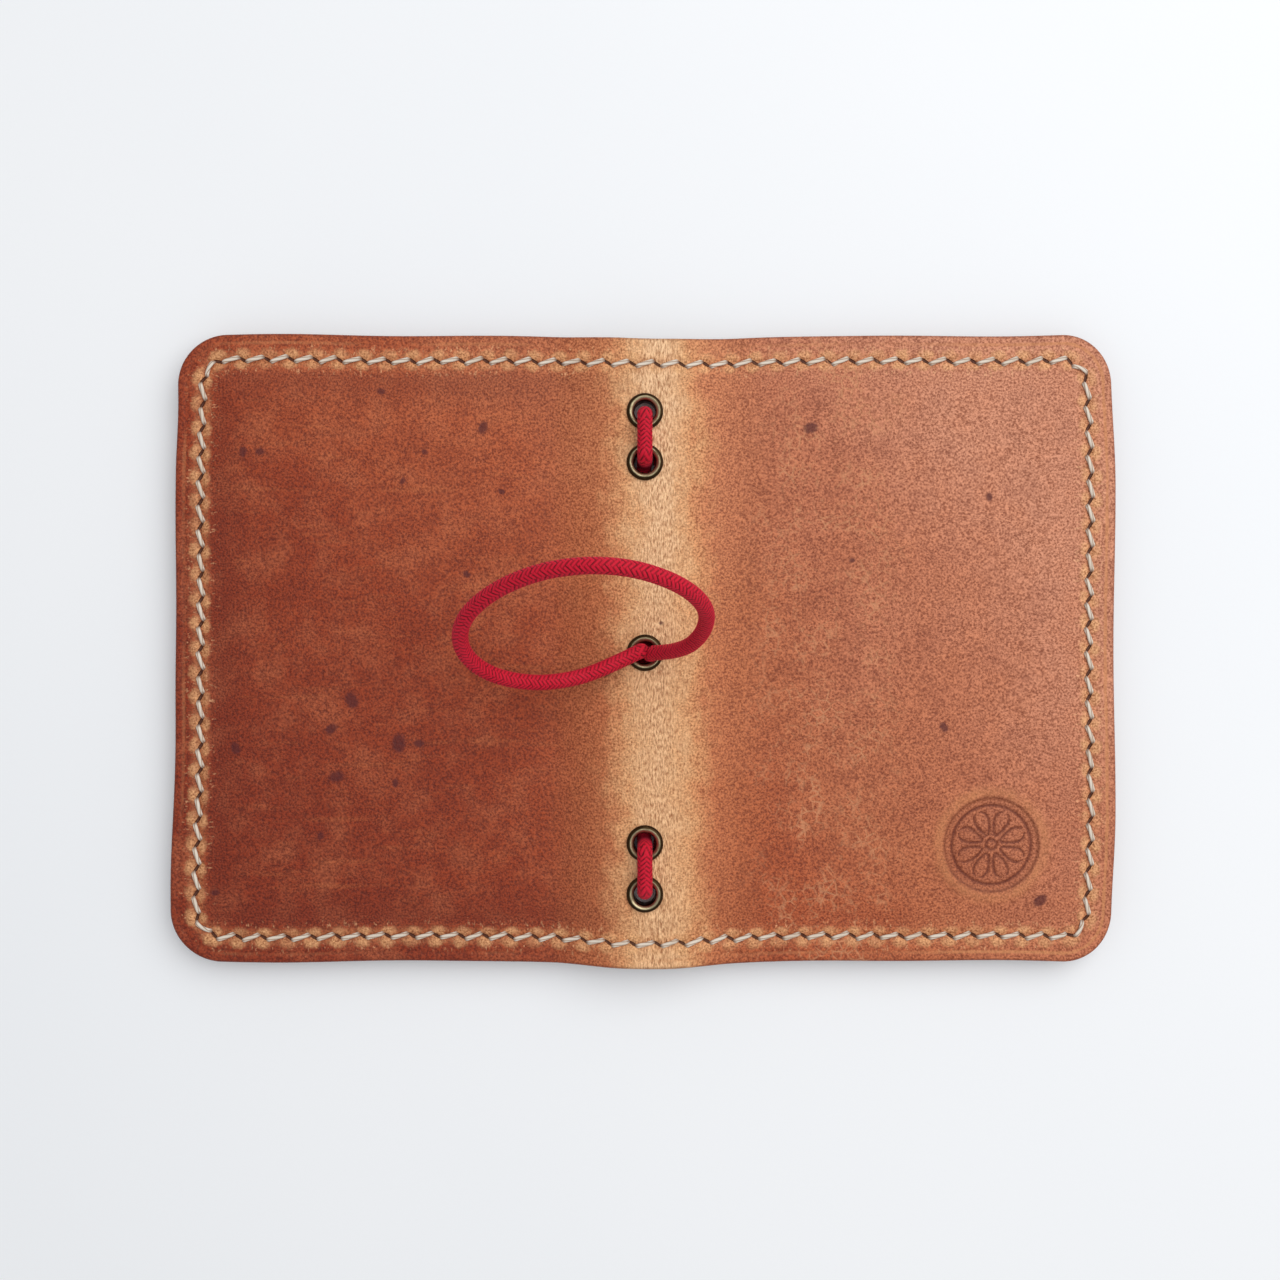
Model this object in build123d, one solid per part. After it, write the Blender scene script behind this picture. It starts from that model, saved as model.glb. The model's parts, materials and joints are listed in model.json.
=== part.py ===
"""Bifold leather card holder, lying open with its outer face up. Millimetres, +Z up.

The origin is on the surface the holder lies on, under the middle of its spine. X runs across the
two covers, Y along the spine. The back cover is at -X and the front cover at +X.
"""

from build123d import *
from math import atan2, cos, degrees, pi, radians, sin, tan
import os

# ---------------------------------------------------------------- driving sizes
open_length = 150.0  # X, both covers and the spine laid out flat
height = 100.0  # Y, along the spine
corner_radius = 8.0

cover_thickness = 1.5
lining_thickness = 0.5
panel_thickness = 0.9
card_gap = 0.6  # room left in an empty pocket
panel_nesting = 0.1  # how much further out each panel turns down than the one above it
spine_rise = 2.0  # how far the spine stands above the covers
fold_run = 7.4  # width of the curve from a fold line down to the flat cover
fold_gap = 0.4  # slit between the rigid pieces at a fold line

stitch_pitch = 3.9
seam_margin = 4.0  # from the edge to the stitch line
seam_allowance = 6.0  # from the edge to where a pocket opens out
spine_stitches = 3  # stitches across the spine, so the fold lines fall on holes
pan_corner_radius = 3.5  # of a pocket's room, inside the seam
wide_mouth_stitches = 2  # stitches from a fold line to the wide pocket's mouth
narrow_mouth_stitches = 6
notch_radius = 11.0
notch_depth = 5.0

thread_width = 0.8
thread_height = 0.45
thread_seat = 0.12  # thread lies this far off the leather, so it clears the curve
stitch_end_gap = 0.7  # from a hole's middle to where the thread shows
stitch_slant = 12.0  # degrees

eyelet_bore_clearance = 0.5  # around one strand of elastic
eyelet_wall = 0.35
eyelet_flange_width = 0.85  # beyond the barrel
eyelet_crown = 0.6  # height of the rolled rim
eyelet_curl_width = 0.65
eyelet_curl_depth = 0.4
hole_clearance = 0.05
washer_thickness = 0.4
washer_width = 1.0
eyelet_inset = 11.9  # from the holder's end to the outer eyelet, along a centred row
eyelet_shift = -0.7  # the row of eyelets is punched this far off the middle of the spine
eyelet_pair_pitch = 8.0

elastic_diameter = 2.4
elastic_clearance = 0.12
sharp_turn = 60.0  # degrees, beyond which the elastic is pulled tight round an eyelet's rim
strand_bow = 4.6  # corner of each inner strand's route, beside the stopper knot
crimp_wall = 0.4
crimp_length = 7.0
crimp_place = 16.0  # how far up from the middle eyelet the crimp is
crimp_meeting_gap = 0.4  # between the elastic's two ends inside the crimp
crimp_bore_clearance = 0.02

neck_clearance = 0.2  # around the squeezed strands in the middle eyelet
knot_radius = 2.7
knot_floor_gap = 0.8

# ---------------------------------------------------------------- places worked out from them
half_length = open_length / 2
half_height = height / 2
spine_half = spine_stitches * stitch_pitch / 2
pocket_stack = 2 * (panel_thickness + card_gap)
flat_base = pocket_stack  # underside of the lining on the flat covers
fold_z = flat_base + spine_rise  # underside of the lining on the spine, and the fold axes
shell_thickness = lining_thickness + cover_thickness
spine_top = fold_z + shell_thickness

bend_angle = 2 * atan2(spine_rise, fold_run)
bend_radius = fold_run / sin(bend_angle) / 2

elastic_radius = elastic_diameter / 2
eyelet_bore_radius = elastic_radius + eyelet_bore_clearance
barrel_radius = eyelet_bore_radius + eyelet_wall
flange_radius = barrel_radius + eyelet_flange_width
outer_eyelet_reach = half_height - eyelet_inset
inner_eyelet_reach = outer_eyelet_reach - eyelet_pair_pitch
curl_bottom = fold_z - washer_thickness - eyelet_curl_depth
rim_top = spine_top + eyelet_crown

outside_run_z = rim_top + elastic_radius + elastic_clearance
inside_run_z = curl_bottom - elastic_radius - elastic_clearance

EYELETS = {
    "top_outer": eyelet_shift + outer_eyelet_reach,
    "top_inner": eyelet_shift + inner_eyelet_reach,
    "middle": eyelet_shift,
    "bottom_inner": eyelet_shift - inner_eyelet_reach,
    "bottom_outer": eyelet_shift - outer_eyelet_reach,
}

# The closing loop's route, from one end over the middle eyelet round to the other.
LOOP_ROUTE = [
    (-1.3, eyelet_shift, outside_run_z),
    (-5.4, -2.7, 10.4),
    (-10.6, -4.7, 12.0),
    (-17.2, -5.4, 14.8),
    (-23.6, -3.8, 19.6),
    (-27.0, -0.1, 24.8),
    (-26.0, 4.5, 30.0),
    (-20.2, 8.7, 35.3),
    (-12.0, 11.2, 39.8),
    (-3.0, 11.3, 41.5),
    (4.6, 9.1, 37.6),
    (8.9, 5.9, 30.2),
    (8.7, 2.3, 21.6),
    (5.6, -0.5, 14.0),
    (1.3, eyelet_shift, outside_run_z),
]


# ---------------------------------------------------------------- covers, spine and lining
def outline(low, high):
    """The whole holder's rounded outline as a block from low to high."""
    plan = RectangleRounded(open_length, height, corner_radius)
    return Pos(0, 0, low) * extrude(plan, high - low)


def cover_side_line(offset, end_x):
    """Section points of a surface lying offset above the lining's underside, fold line outwards."""
    start = Vector(spine_half + fold_gap / 2, fold_z + offset)
    outer, inner = bend_radius + offset, bend_radius - offset

    def swing(radius, angle):
        return Vector(radius * sin(angle), -radius * (1 - cos(angle)))

    def climb(radius, angle):
        whole = swing(radius, bend_angle)
        return whole - swing(radius, bend_angle - angle)

    middle = start + swing(outer, bend_angle)
    crest = start + swing(outer, bend_angle / 2)
    hollow = middle + climb(inner, bend_angle / 2)
    flat = middle + swing(inner, bend_angle)
    return [start, crest, middle, hollow, flat, Vector(end_x, flat.Y)]


def section_edges(points):
    start, crest, middle, hollow, flat, end = points
    return [
        ThreePointArc(start, crest, middle),
        ThreePointArc(middle, hollow, flat),
        Line(flat, end),
    ]


def cover_layer(low, high):
    """One layer of the front cover, between two heights above the lining's underside."""
    under, over = cover_side_line(low, half_length), cover_side_line(high, half_length)
    edges = section_edges(under) + section_edges(over)
    edges += [Line(under[0], over[0]), Line(under[-1], over[-1])]
    section = Plane.XZ * make_face(edges)
    block = extrude(section, half_height, both=True)
    return block & outline(0, spine_top + 1)


def spine_layer(low, high, hole_radius):
    """One layer of the spine strip, with a hole for each eyelet."""
    width = 2 * spine_half - fold_gap
    strip = Pos(0, 0, (low + high) / 2) * Box(width, height, high - low)
    for y in EYELETS.values():
        strip -= Pos(0, y, low) * Cylinder(hole_radius, 3 * (high - low))
    return strip


# ---------------------------------------------------------------- pockets
def mouth_x(stitches):
    return spine_half + stitches * seam_pitch


def tapered_block(spread, mouth, top, depth):
    """A shallow pan, open past the mouth, whose other three sides slope in at 45 degrees.

    Its rim is the pocket's outline inside the seam, grown by spread.
    """
    past = 10.0
    reach_y = half_height - seam_allowance + spread
    length = half_length - seam_allowance + spread - mouth + past
    plan = RectangleRounded(length, 2 * reach_y, pan_corner_radius + spread)
    plan = Pos(mouth - past + length / 2, 0, top) * plan
    return extrude(plan, -depth, taper=45)


def pocket_panel(mouth, seam_top, drop, layer):
    """A card pocket's panel: flat where it is sewn, and standing off by drop inside the seam.

    Each further layer turns down a little nearer to the edge, round the panel above it.
    """
    wall = panel_thickness * (2**0.5 - 1)
    spread = layer * (wall + panel_nesting)
    plate = outline(seam_top - panel_thickness, seam_top)
    pan = tapered_block(spread + wall, mouth, seam_top - panel_thickness, drop)
    room = tapered_block(spread, mouth, seam_top, drop)
    keep = Pos(mouth, 0, 0) * Box(
        half_length, height, 4 * fold_z, align=(Align.MIN, Align.CENTER, Align.CENTER)
    )
    notch = Pos(mouth - notch_radius + notch_depth, 0, 0) * Cylinder(notch_radius, 4 * fold_z)
    return ((plate + pan) - room) & (keep - notch)


# ---------------------------------------------------------------- stitching
seam_radius = corner_radius - seam_margin
seam_y = half_height - seam_margin
seam_x = half_length - seam_margin
seam_line = Polyline(
    (spine_half, seam_y), (seam_x, seam_y), (seam_x, -seam_y), (spine_half, -seam_y)
)
seam_line = fillet(seam_line.vertices().sort_by(Axis.X)[-2:], seam_radius)
seam_stitches = round(seam_line.length / stitch_pitch)
seam_pitch = seam_line.length / seam_stitches


def stitch(length):
    """One visible stitch lying along X, its underside at z = 0."""
    return extrude(SlotOverall(length, thread_width), thread_height)


def surface_height(offset, x):
    """Height of the surface lying offset above the lining's underside, at x on the front cover."""
    outer, inner = bend_radius + offset, bend_radius - offset
    run = x - spine_half - fold_gap / 2
    to_flat = fold_run - run
    if run <= 0:
        return fold_z + offset
    if to_flat <= 0:
        return flat_base + offset
    if run < outer * sin(bend_angle):
        return fold_z + offset - outer + (outer**2 - run**2) ** 0.5
    return flat_base + offset + inner - (inner**2 - to_flat**2) ** 0.5


def laid_stitch(spot, run, face):
    """One stitch of the seam on the outer (face = 1) or inner (face = -1) side, clear of the sheet."""
    length = seam_pitch - 2 * stitch_end_gap
    reach = run.X * length / 2
    offset = shell_thickness if face > 0 else 0
    near, far = (surface_height(offset, spot.X + way * reach) for way in (-1, 1))
    middle = (near + far) / 2
    bulge = max(0, face * (surface_height(offset, spot.X) - middle))
    panels = sum(spot.X > mouth_x(count) for count in (wide_mouth_stitches, narrow_mouth_stitches))
    depth = 0 if face > 0 else panels * panel_thickness
    slope = degrees(atan2(near - far, 2 * reach)) if abs(reach) > thread_width else 0
    slope = (slope + 90) % 180 - 90
    turn = degrees(atan2(run.Y, run.X)) + face * stitch_slant
    upright = 0 if face > 0 else 180
    height = middle - depth + face * (bulge + thread_seat)
    lean = Rot(0, slope, 0) * Rot(0, 0, turn) * Rot(upright, 0, 0)
    return Pos(spot.X, spot.Y, height) * lean * stitch(length)


def cover_stitches():
    """Every stitch of the front cover's seam, on the outer face and on the inner one."""
    made = []
    for k in range(seam_stitches):
        at = (k + 0.5) / seam_stitches
        spot, run = seam_line @ at, seam_line % at
        made += [laid_stitch(spot, run, face) for face in (1, -1)]
    return made


def spine_stitching():
    """The stitches that cross the spine at its two ends."""
    made = []
    length = stitch_pitch - 2 * stitch_end_gap
    for k in range(spine_stitches):
        x = (k - (spine_stitches - 1) / 2) * stitch_pitch
        for y in (seam_y, -seam_y):
            over = Pos(x, y, spine_top + thread_seat) * Rot(0, 0, stitch_slant)
            under = Pos(x, y, fold_z - thread_seat) * Rot(180, 0, stitch_slant)
            made += [over * stitch(length), under * stitch(length)]
    return made


# ---------------------------------------------------------------- eyelets
def revolved(section):
    return revolve(Plane.XZ * section, Axis.Z, 360)


def eyelet():
    """A rolled eyelet, clinched on the inside. Its z = 0 is the leather's outer face."""
    bottom = -(shell_thickness + washer_thickness)
    crown_r = (eyelet_bore_radius + flange_radius) / 2
    curl_radius = barrel_radius + eyelet_curl_width
    curl_r = (eyelet_bore_radius + curl_radius) / 2
    lip = 0.15  # the bore starts this far below the face
    low = bottom - eyelet_curl_depth
    edges = [
        Line((barrel_radius, 0), (flange_radius, 0)),
        ThreePointArc(
            (flange_radius, 0),
            (flange_radius - 0.17, eyelet_crown * 0.72),
            (crown_r, eyelet_crown),
        ),
        ThreePointArc(
            (crown_r, eyelet_crown),
            (eyelet_bore_radius + 0.2, eyelet_crown * 0.6),
            (eyelet_bore_radius, -lip),
        ),
        Line((eyelet_bore_radius, -lip), (eyelet_bore_radius, bottom)),
        ThreePointArc(
            (eyelet_bore_radius, bottom),
            (eyelet_bore_radius + 0.14, bottom - eyelet_curl_depth * 0.72),
            (curl_r, low),
        ),
        ThreePointArc((curl_r, low), (curl_radius - 0.14, low + 0.12), (curl_radius, bottom)),
        Line((curl_radius, bottom), (barrel_radius, bottom)),
        Line((barrel_radius, bottom), (barrel_radius, 0)),
    ]
    return revolved(make_face(edges))


def washer():
    """The ring that the eyelet is clinched over, its top against the lining."""
    inner = barrel_radius + hole_clearance
    return Pos(0, 0, -washer_thickness / 2) * (
        Cylinder(inner + washer_width, washer_thickness) - Cylinder(inner, 2 * washer_thickness)
    )


# ---------------------------------------------------------------- elastics
def soft_radii(points, share=0.45):
    """The largest arc that each corner's two runs allow, or a tight one where it turns sharply."""
    radii = []
    for before, here, after in zip(points, points[1:], points[2:]):
        a, b = Vector(here) - Vector(before), Vector(after) - Vector(here)
        turn = a.get_angle(b)
        radius = share * min(a.length, b.length) / tan(radians(turn) / 2)
        radii.append(min(radius, elastic_diameter) if turn > sharp_turn else radius)
    return radii


def cord_tube(points, name):
    """A round cord along straight runs joined by arcs. Its volume is checked against its length."""
    radii = soft_radii(points)
    path = FilletPolyline(*points, radius=radii)
    start = Plane(origin=path @ 0, z_dir=path % 0)
    tube = sweep(start * Circle(elastic_radius), path=path)
    share = tube.volume / (pi * elastic_radius**2 * path.length)
    print(name, "length", round(path.length, 1), "volume share", round(share, 4))
    print(name, "radii", [round(r, 1) for r in radii])
    return tube


def retaining_route():
    """From the crimp out and in through the top pair, down one side, through the bottom pair, back."""
    low, high = inside_run_z, outside_run_z
    beside = elastic_diameter + elastic_clearance  # where a strand passes an inner eyelet's cord
    inner, outer = inner_eyelet_reach, outer_eyelet_reach
    crimp = Vector(-strand_bow * (1 - crimp_place / inner), crimp_place, low)
    along = (Vector(0, inner, low) - Vector(-strand_bow, 0, low)).normalized()
    start, end = crimp + along * crimp_meeting_gap / 2, crimp - along * crimp_meeting_gap / 2
    upper = [
        (0, inner, low),
        (0, inner, high),
        (0, outer, high),
        (0, outer, low),
        (beside, inner + 0.3, low),
    ]
    lower = [(x, -y, z) for x, y, z in reversed(upper)]
    route = [tuple(start)] + upper + [(strand_bow, 0, low)] + lower + [(-strand_bow, 0, low), tuple(end)]
    route = [(x, y + eyelet_shift, z) for x, y, z in route]
    return route, crimp + Vector(0, eyelet_shift, 0), along


def closing_loop():
    """The free loop over the spine, with round ends on the axis that it swings about."""
    tube = cord_tube(LOOP_ROUTE, "closing_loop")
    for end in (LOOP_ROUTE[0], LOOP_ROUTE[-1]):
        tube += Pos(*end) * Sphere(elastic_radius)
    return tube


def crimp_sleeve(place, along):
    bore = elastic_radius + crimp_bore_clearance
    ring = Cylinder(bore + crimp_wall, crimp_length) - Cylinder(bore, 2 * crimp_length)
    return Plane(origin=place, z_dir=along) * ring


def loop_neck():
    """The loop's two strands squeezed together in the middle eyelet."""
    radius = eyelet_bore_radius - neck_clearance
    low = curl_bottom - elastic_clearance
    top = outside_run_z - elastic_radius - elastic_clearance / 2
    return Pos(0, 0, (low + top) / 2) * Cylinder(radius, top - low)


def loop_knot():
    """The stopper knot under the spine that keeps the loop in its eyelet."""
    neck = eyelet_bore_radius - neck_clearance
    low, top = knot_floor_gap, curl_bottom - elastic_clearance
    edges = [
        Line((0, top), (neck, top)),
        ThreePointArc((neck, top), (knot_radius, (low + top) / 2), (neck, low)),
        Line((neck, low), (0, low)),
        Line((0, low), (0, top)),
    ]
    return revolved(make_face(edges))


# ---------------------------------------------------------------- the parts
def both_sides(name, solid):
    """The front piece as made, and the back piece mirrored across the spine."""
    return {f"front_{name}": solid, f"back_{name}": mirror(solid, Plane.YZ)}


def build_parts():
    hole_radius = barrel_radius + hole_clearance
    parts = {}
    parts |= both_sides("cover_leather", cover_layer(lining_thickness, shell_thickness))
    parts |= both_sides("lining", cover_layer(0, lining_thickness))
    wide = pocket_panel(mouth_x(wide_mouth_stitches), flat_base, card_gap, layer=0)
    narrow_top = flat_base - panel_thickness
    narrow = pocket_panel(mouth_x(narrow_mouth_stitches), narrow_top, 2 * card_gap, layer=1)
    parts |= both_sides("wide_pocket", wide)
    parts |= both_sides("narrow_pocket", narrow)
    parts |= both_sides("seam_thread", Compound(children=cover_stitches()))

    parts["spine_leather"] = spine_layer(fold_z + lining_thickness, spine_top, hole_radius)
    parts["spine_lining"] = spine_layer(fold_z, fold_z + lining_thickness, hole_radius)
    parts["spine_seam_thread"] = Compound(children=spine_stitching())
    for place, y in EYELETS.items():
        parts[f"eyelet_{place}"] = Pos(0, y, spine_top) * eyelet()
        parts[f"eyelet_washer_{place}"] = Pos(0, y, fold_z) * washer()

    route, crimp, along = retaining_route()
    parts["retaining_elastic"] = cord_tube(route, "retaining_elastic")
    parts["elastic_crimp"] = crimp_sleeve(crimp, along)
    parts["loop_neck"] = Pos(0, eyelet_shift, 0) * loop_neck()
    parts["loop_knot"] = Pos(0, eyelet_shift, 0) * loop_knot()
    parts["closing_loop"] = closing_loop()
    return parts


if __name__ == "__main__":
    os.makedirs("parts", exist_ok=True)
    for node, shape in build_parts().items():
        export_step(shape, f"parts/{node}.step")
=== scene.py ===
"""Bifold leather card holder, lying open with its outer face up. Metres, in the part's own frame."""

import json
import math

import bpy
import numpy as np
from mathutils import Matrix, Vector


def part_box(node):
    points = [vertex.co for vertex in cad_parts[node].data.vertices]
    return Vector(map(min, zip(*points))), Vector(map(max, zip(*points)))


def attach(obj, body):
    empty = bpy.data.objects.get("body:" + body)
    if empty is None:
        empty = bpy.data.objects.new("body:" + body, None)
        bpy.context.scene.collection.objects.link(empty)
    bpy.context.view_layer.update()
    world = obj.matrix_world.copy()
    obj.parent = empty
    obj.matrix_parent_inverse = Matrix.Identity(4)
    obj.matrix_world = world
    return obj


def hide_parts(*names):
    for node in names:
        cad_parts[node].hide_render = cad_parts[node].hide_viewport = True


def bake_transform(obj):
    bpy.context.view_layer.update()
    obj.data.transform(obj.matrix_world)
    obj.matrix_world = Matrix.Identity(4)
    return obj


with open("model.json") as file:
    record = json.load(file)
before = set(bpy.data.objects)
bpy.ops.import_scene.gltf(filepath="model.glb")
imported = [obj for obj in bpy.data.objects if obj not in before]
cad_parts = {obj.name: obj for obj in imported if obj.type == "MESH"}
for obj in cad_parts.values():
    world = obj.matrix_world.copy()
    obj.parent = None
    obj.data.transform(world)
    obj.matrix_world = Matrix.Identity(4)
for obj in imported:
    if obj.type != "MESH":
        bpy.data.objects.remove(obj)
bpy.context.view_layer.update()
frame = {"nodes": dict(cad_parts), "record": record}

MM = 0.001
joints = {joint["name"]: joint for joint in frame["record"]["behaviour"]["joints"]}
scene = bpy.context.scene

# ---------------------------------------------------------------------------------------------
# Camera: straight above the open holder, a little off its middle. The lens comes from how wide a
# stretch it takes in at the covers' height.
eye_height = 0.225
eye_offset = (-0.77 * MM, 1.32 * MM)
frame_width = 203.85 * MM  # what the picture takes in at the covers' height
covers_height = 5 * MM

camera = bpy.data.objects.new("camera", bpy.data.cameras.new("camera"))
scene.collection.objects.link(camera)
camera.location = (*eye_offset, eye_height)
camera.data.sensor_width = 36
camera.data.lens = 36 * (eye_height - covers_height) / frame_width
camera.data.clip_start = 0.01
scene.camera = camera

# ---------------------------------------------------------------------------------------------
# Closing loop: round elastic with a braided textile cover, its two ends squeezed together into
# the middle eyelet. It stands up by its own stiffness and swings about the eyelet.
elastic_diameter = 2.4 * MM
yarns_each_way = 8  # of the braid, round the elastic
braid_rise = 5.8 * MM  # how far along one yarn goes in a full turn
yarn_relief = 0.13 * MM
loop_exit_height = joints["loop_swing"]["pos_m"][2]
loop_route = [
    (-1.3, -0.7, 8.92),
    (-5.4, -2.7, 10.4),
    (-10.6, -4.7, 12.0),
    (-17.2, -5.4, 14.8),
    (-23.6, -3.8, 19.6),
    (-27.0, -0.1, 24.8),
    (-26.0, 4.5, 30.0),
    (-20.2, 8.7, 35.3),
    (-12.0, 11.2, 39.8),
    (-3.0, 11.3, 41.5),
    (4.6, 9.1, 37.6),
    (8.9, 5.9, 30.2),
    (8.7, 2.3, 21.6),
    (5.6, -0.5, 14.0),
    (1.3, -0.7, 8.92),
]


def smooth_line(name, points):
    """Points along a NURBS spline that has these control points, in millimetres."""
    curve = bpy.data.curves.new(name, "CURVE")
    curve.dimensions = "3D"
    curve.resolution_u = 16
    spline = curve.splines.new("NURBS")
    spline.points.add(len(points) - 1)
    for place, point in zip(spline.points, points):
        place.co = (*(value * MM for value in point), 1)
    spline.order_u = 3
    spline.use_endpoint_u = True
    holder = bpy.data.objects.new(name, curve)
    scene.collection.objects.link(holder)
    mesh = bpy.data.meshes.new_from_object(holder)
    line = np.array([vertex.co for vertex in mesh.vertices])
    bpy.data.objects.remove(holder)
    bpy.data.curves.remove(curve)
    bpy.data.meshes.remove(mesh)
    return line


def even_line(line, step):
    """The same line, with its points evenly spaced."""
    legs = np.linalg.norm(np.diff(line, axis=0), axis=1)
    run = np.concatenate([[0], np.cumsum(legs)])
    count = max(2, round(run[-1] / step) + 1)
    places = np.linspace(0, run[-1], count)
    return np.stack([np.interp(places, run, line[:, axis]) for axis in range(3)], axis=1)


def unit(vectors):
    return vectors / np.linalg.norm(vectors, axis=-1, keepdims=True)


def new_piece(name, vertices, faces):
    mesh = bpy.data.meshes.new(name)
    mesh.from_pydata([tuple(v) for v in vertices], [], faces)
    mesh.polygons.foreach_set("use_smooth", [True] * len(mesh.polygons))
    mesh.update()
    piece = bpy.data.objects.new(name, mesh)
    scene.collection.objects.link(piece)
    return piece


def remember(piece, name, rows):
    """Stores a vector at every vertex, which stays with the piece when it bends."""
    attribute = piece.data.attributes.new(name, "FLOAT_VECTOR", "POINT")
    attribute.data.foreach_set("vector", np.asarray(rows, np.float32).ravel())


def tube_mesh(line, rings_around, radius_at, sideways=None):
    """Vertices and faces of a closed tube round a line. radius_at(run, angle) gives its radius."""
    ahead = unit(np.gradient(line, axis=0))
    side = np.cross(ahead[0], (0.0, 0.0, 1.0) if sideways is None else sideways)
    if np.linalg.norm(side) < 1e-3:
        side = np.cross(ahead[0], (0.0, 1.0, 0.0))
    sides = []
    for direction in ahead:
        side = side - direction * (side @ direction)
        side = side / np.linalg.norm(side)
        sides.append(side)
    sides = np.array(sides)
    ups = np.cross(ahead, sides)
    legs = np.linalg.norm(np.diff(line, axis=0), axis=1)
    run = np.concatenate([[0], np.cumsum(legs)])
    angle = np.arange(rings_around) * 2 * math.pi / rings_around
    reach = radius_at(run[:, None], angle[None, :])
    spokes = (
        sides[:, None, :] * np.cos(angle)[None, :, None] + ups[:, None, :] * np.sin(angle)[None, :, None]
    )
    rings = line[:, None, :] + spokes * reach[:, :, None]
    vertices = rings.reshape(-1, 3)
    faces = []
    count = len(line)
    for i in range(count - 1):
        a, b = i * rings_around, (i + 1) * rings_around
        for j in range(rings_around):
            k = (j + 1) % rings_around
            faces.append((a + j, a + k, b + k, b + j))
    faces.append(tuple(range(rings_around))[::-1])
    faces.append(tuple((count - 1) * rings_around + j for j in range(rings_around)))
    return vertices, faces


def yarn_crown(run, angle):
    """1 on a yarn's crown and 0 in the gaps: yarns of two directions, over two and under two."""
    turns = angle / (2 * math.pi)
    one = yarns_each_way * (turns + run / braid_rise)
    other = yarns_each_way * (turns - run / braid_rise)
    over = (np.floor(one) + np.floor(other)) % 4 < 2
    crown = np.where(over, one % 1, other % 1)
    return np.sqrt(np.clip(1 - (2 * crown - 1) ** 2, 0, 1))


def braid(run, angle):
    return elastic_diameter / 2 - yarn_relief * (1 - yarn_crown(run, angle))


def braided(name, lines, step, around=48, radius_at=braid):
    """One braided piece along one or more lines, with a round cap on every end.

    Known fault: base counts the first cap's rings, so a line's second cap joins the wrong ring.
    """
    vertices, faces, crowns, count = [], [], [], 0
    for line in lines:
        line = even_line(line, step)
        some_vertices, some_faces = tube_mesh(line, around, radius_at)
        vertices.append(some_vertices)
        open_tube = some_faces[:-2]  # without its flat ends
        faces += [tuple(index + count for index in face) for face in open_tube]
        run = np.concatenate([[0], np.cumsum(np.linalg.norm(np.diff(line, axis=0), axis=1))])
        angle = np.arange(around) * 2 * math.pi / around
        crowns.append(yarn_crown(run[:, None], angle[None, :]).ravel())
        count += len(some_vertices)
        for end, inner in ((0, 1), (-1, -2)):
            ring = some_vertices[:around] if end == 0 else some_vertices[-around:]
            outward = unit(line[end] - line[inner])
            base = (0 if end == 0 else len(some_vertices) - around) + count - len(some_vertices)
            last = base + np.arange(around)
            for turn in np.radians((25, 50, 72)):
                cap = line[end] + (ring - line[end]) * math.cos(turn)
                cap = cap + outward * elastic_diameter / 2 * math.sin(turn)
                new = count + np.arange(around)
                vertices.append(cap)
                crowns.append(np.full(around, 0.5))
                for k in range(around):
                    m = (k + 1) % around
                    if end:
                        faces.append((last[k], last[m], new[m], new[k]))
                    else:
                        faces.append((last[m], last[k], new[k], new[m]))
                last = new
                count += around
            faces.append(tuple(last) if end else tuple(last[::-1]))
    piece = new_piece(name, np.concatenate(vertices), faces)
    crowns = np.concatenate(crowns)
    remember(piece, "yarn", np.stack([crowns, crowns, crowns], axis=1))
    return piece


loop_line = smooth_line("loop_line", loop_route)
closing_loop = braided("closing_loop_braid", [loop_line], 0.13 * MM)
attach(closing_loop, "closing_loop")
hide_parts("closing_loop")


# The materials' maths: a socket that takes the usual operators, and one method for every other node.
class Value:
    """One output socket. Arithmetic on it adds Math nodes."""

    def __init__(self, shader, socket):
        self.shader, self.socket = shader, socket

    def maths(self, operation, other=None, swap=False):
        ends = [self] if other is None else ([other, self] if swap else [self, other])
        return self.shader.node("ShaderNodeMath", {"operation": operation}, dict(enumerate(ends)))

    def __add__(self, other):
        return self.maths("ADD", other)

    def __radd__(self, other):
        return self.maths("ADD", other)

    def __sub__(self, other):
        return self.maths("SUBTRACT", other)

    def __rsub__(self, other):
        return self.maths("SUBTRACT", other, swap=True)

    def __mul__(self, other):
        return self.maths("MULTIPLY", other)

    def __truediv__(self, other):
        return self.maths("DIVIDE", other)

    def __abs__(self):
        return self.maths("ABSOLUTE")

    def least(self, other):
        return self.maths("MINIMUM", other)

    def fade(self, near, far):
        """1 below near, 0 beyond far, and a smooth step between them."""
        return self.shader.node(
            "ShaderNodeMapRange", {"interpolation_type": "SMOOTHSTEP"},
            {"Value": self, "From Min": near, "From Max": far, "To Min": 1.0, "To Max": 0.0},
        )

    def rise(self, near, far):
        """0 below near, 1 beyond far."""
        return 1 - self.fade(near, far)


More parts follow.
